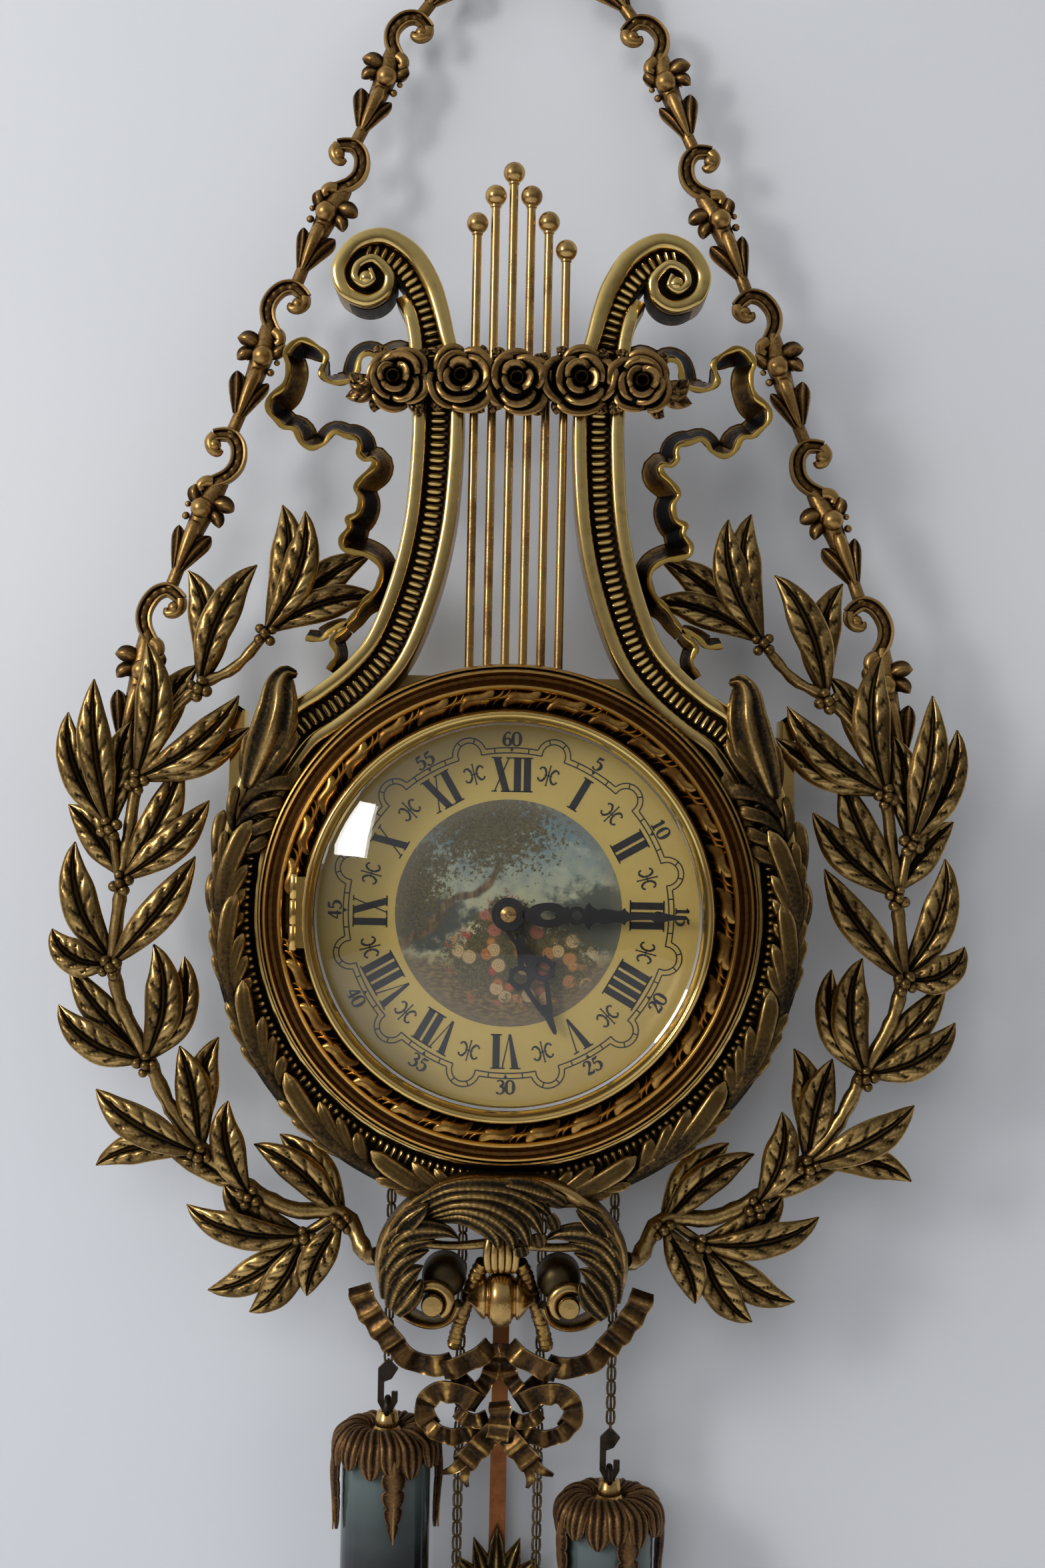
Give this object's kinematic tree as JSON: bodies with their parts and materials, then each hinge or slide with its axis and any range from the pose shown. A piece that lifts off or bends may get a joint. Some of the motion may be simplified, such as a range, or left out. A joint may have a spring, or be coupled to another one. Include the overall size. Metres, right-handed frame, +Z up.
{
  "type": "wall clock",
  "caption": "Lyre-shaped gilt bronze wall clock with a domed glass dial, laurel and ribbon ornament, a pendulum, two chain-hung weights and cast hanging chains.",
  "frame": {"origin": "the axis of the hands, on the plane of the wall, which is the back face of the movement's case", "axes": "+Z up, +X to the viewer's right, the front faces -Y"},
  "size_m": [0.4084, 0.122, 0.9575],
  "materials": {
    "gilt_bronze": "antique gilt bronze, satin, dark in the recesses",
    "polished_brass": "polished",
    "coppery_bronze": "satin, reddish",
    "movement_brass": "satin",
    "dark_steel": "dark, satin",
    "dial_gold": "pale gold, satin, with black printed numerals and a round painted centre",
    "black_hands": "black, semi-gloss",
    "clear_glass": "clear, polished",
    "dark_gloss_shell": "dark grey-green, glossy"
  },
  "bodies": {
    "clock": {"case_shell": "movement_brass", "case_back": "movement_brass", "movement_back_plate": "movement_brass", "movement_front_plate": "movement_brass", "bell": "movement_brass", "dial_plate": "dial_gold", "dial_surround": "gilt_bronze", "bezel_hinge_pin": "dark_steel", "lyre_frame": "polished_brass", "string_rod_1": "polished_brass", "string_rod_2": "polished_brass", "string_rod_3": "polished_brass", "string_rod_4": "polished_brass", "string_rod_5": "polished_brass", "string_rod_6": "polished_brass", "rose_garland": "gilt_bronze", "ribbon_left": "gilt_bronze", "ribbon_right": "gilt_bronze", "laurel_branch_left": "gilt_bronze", "laurel_branch_right": "gilt_bronze", "acanthus_left": "gilt_bronze", "acanthus_right": "gilt_bronze", "hanging_chain_left": "coppery_bronze", "hanging_chain_right": "coppery_bronze", "scroll_cartouche": "gilt_bronze", "spindle_finial": "polished_brass", "ribbon_bow": "gilt_bronze", "suspension_ring": "coppery_bronze", "pendulum_spring": "dark_steel"},
    "glass_door": {"bezel_ring": "polished_brass", "dome_glass": "clear_glass"},
    "minute_hand": {"minute_hand": "black_hands", "cannon_pinion": "movement_brass"},
    "minute_wheel": {"minute_wheel": "movement_brass"},
    "hour_hand": {"hour_hand": "black_hands", "hour_wheel": "movement_brass"},
    "escape_wheel": {"escape_wheel": "movement_brass"},
    "third_wheel": {"third_wheel": "movement_brass"},
    "centre_wheel": {"centre_wheel": "movement_brass"},
    "going_great_wheel": {"going_great_wheel": "movement_brass"},
    "pendulum": {"pendulum_rod": "coppery_bronze", "pendulum_bob": "gilt_bronze"},
    "rating_nut": {"rating_nut": "polished_brass"},
    "anchor": {"anchor_and_crutch": "dark_steel"},
    "strike_fly": {"strike_fly": "movement_brass"},
    "strike_pin_wheel": {"strike_pin_wheel": "movement_brass"},
    "strike_great_wheel": {"strike_great_wheel": "movement_brass"},
    "hammer": {"hammer": "dark_steel"},
    "going_weight": {"going_weight_shell": "dark_gloss_shell", "going_weight_cap": "gilt_bronze", "going_weight_hook": "dark_steel", "going_chain_fall": "dark_steel"},
    "going_free_chain": {"going_chain_free": "dark_steel"},
    "going_chain_wheel": {"going_chain_wheel": "movement_brass"},
    "strike_weight": {"strike_weight_shell": "dark_gloss_shell", "strike_weight_cap": "gilt_bronze", "strike_weight_hook": "dark_steel", "strike_chain_fall": "dark_steel"},
    "strike_free_chain": {"strike_chain_free": "dark_steel"},
    "strike_chain_wheel": {"strike_chain_wheel": "movement_brass"}
  },
  "joints": [
    {"name": "glass_door_hinge", "type": "hinge", "parent": "clock", "child": "glass_door", "pos_m": [-0.0906, -0.101, 0], "axis": [0, 0, -1], "range_deg": [0, 100]},
    {"name": "minute_hand_turn", "type": "hinge", "parent": "clock", "child": "minute_hand", "pos_m": [0, -0.08, 0], "axis": [0, 1, 0], "continuous": true},
    {"name": "minute_wheel_turn", "type": "hinge", "parent": "clock", "child": "minute_wheel", "pos_m": [0.01018, -0.066, -0.01018], "axis": [0, 1, 0], "continuous": true},
    {"name": "hour_hand_turn", "type": "hinge", "parent": "clock", "child": "hour_hand", "pos_m": [0, -0.076, 0], "axis": [0, 1, 0], "continuous": true},
    {"name": "escape_wheel_turn", "type": "hinge", "parent": "clock", "child": "escape_wheel", "pos_m": [0, -0.034, 0.02786], "axis": [0, 1, 0], "continuous": true},
    {"name": "third_wheel_turn", "type": "hinge", "parent": "clock", "child": "third_wheel", "pos_m": [-0.016, -0.03, 0.01666], "axis": [0, 1, 0], "continuous": true},
    {"name": "centre_wheel_turn", "type": "hinge", "parent": "clock", "child": "centre_wheel", "pos_m": [0, -0.037, 0], "axis": [0, 1, 0], "continuous": true},
    {"name": "going_great_wheel_turn", "type": "hinge", "parent": "clock", "child": "going_great_wheel", "pos_m": [-0.0341, -0.049, -0.032], "axis": [0, 1, 0], "continuous": true},
    {"name": "pendulum_swing", "type": "hinge", "parent": "clock", "child": "pendulum", "pos_m": [0, -0.012, 0.045], "axis": [0, 1, 0], "range_deg": [-4, 4]},
    {"name": "rating_nut_turn", "type": "hinge", "parent": "pendulum", "child": "rating_nut", "pos_m": [0, -0.012, -0.399], "axis": [0, 0, 1], "continuous": true},
    {"name": "anchor_rock", "type": "hinge", "parent": "clock", "child": "anchor", "pos_m": [0, -0.03, 0.045], "axis": [0, 1, 0], "range_deg": [-4, 4]},
    {"name": "strike_fly_turn", "type": "hinge", "parent": "clock", "child": "strike_fly", "pos_m": [0.05435, -0.042, 0.02407], "axis": [0, 1, 0], "continuous": true},
    {"name": "strike_pin_wheel_turn", "type": "hinge", "parent": "clock", "child": "strike_pin_wheel", "pos_m": [0.05435, -0.031, 0.00307], "axis": [0, 1, 0], "continuous": true},
    {"name": "strike_great_wheel_turn", "type": "hinge", "parent": "clock", "child": "strike_great_wheel", "pos_m": [0.0341, -0.052, -0.032], "axis": [0, 1, 0], "continuous": true},
    {"name": "hammer_lift", "type": "hinge", "parent": "clock", "child": "hammer", "pos_m": [0.062, -0.04, 0.051], "axis": [0, 1, 0], "range_deg": [0, 12]},
    {"name": "going_weight_fall", "type": "slide", "parent": "clock", "child": "going_weight", "axis": [0, 0, 1], "range_m": [-0.045, 0]},
    {"name": "going_free_chain_rise", "type": "slide", "parent": "clock", "child": "going_free_chain", "axis": [0, 0, 1], "range_m": [0, 0.045]},
    {"name": "going_chain_wheel_turn", "type": "hinge", "parent": "clock", "child": "going_chain_wheel", "pos_m": [-0.0341, -0.044, -0.032], "axis": [0, 1, 0], "range_deg": [-161, 1]},
    {"name": "strike_weight_fall", "type": "slide", "parent": "clock", "child": "strike_weight", "axis": [0, 0, 1], "range_m": [-0.06, 0.02]},
    {"name": "strike_free_chain_rise", "type": "slide", "parent": "clock", "child": "strike_free_chain", "axis": [0, 0, 1], "range_m": [-0.02, 0.06]},
    {"name": "strike_chain_wheel_turn", "type": "hinge", "parent": "clock", "child": "strike_chain_wheel", "pos_m": [0.0341, -0.044, -0.032], "axis": [0, 1, 0], "range_deg": [-72, 214]}
  ],
  "couplings": [
    {"joint": "minute_wheel_turn", "follows": "minute_hand_turn", "ratio": -0.33333},
    {"joint": "hour_hand_turn", "follows": "minute_hand_turn", "ratio": 0.083333},
    {"joint": "anchor_rock", "follows": "pendulum_swing", "ratio": 1},
    {"joint": "third_wheel_turn", "follows": "escape_wheel_turn", "ratio": -0.10526},
    {"joint": "centre_wheel_turn", "follows": "escape_wheel_turn", "ratio": 0.010526},
    {"joint": "going_great_wheel_turn", "follows": "escape_wheel_turn", "ratio": -0.001316},
    {"joint": "strike_pin_wheel_turn", "follows": "strike_fly_turn", "ratio": -0.25},
    {"joint": "strike_great_wheel_turn", "follows": "strike_fly_turn", "ratio": 0.03125},
    {"joint": "going_free_chain_rise", "follows": "going_weight_fall", "ratio": -1},
    {"joint": "going_chain_wheel_turn", "follows": "going_weight_fall", "rad_per_m": 61.728},
    {"joint": "strike_free_chain_rise", "follows": "strike_weight_fall", "ratio": -1},
    {"joint": "strike_chain_wheel_turn", "follows": "strike_weight_fall", "rad_per_m": -61.728}
  ]
}
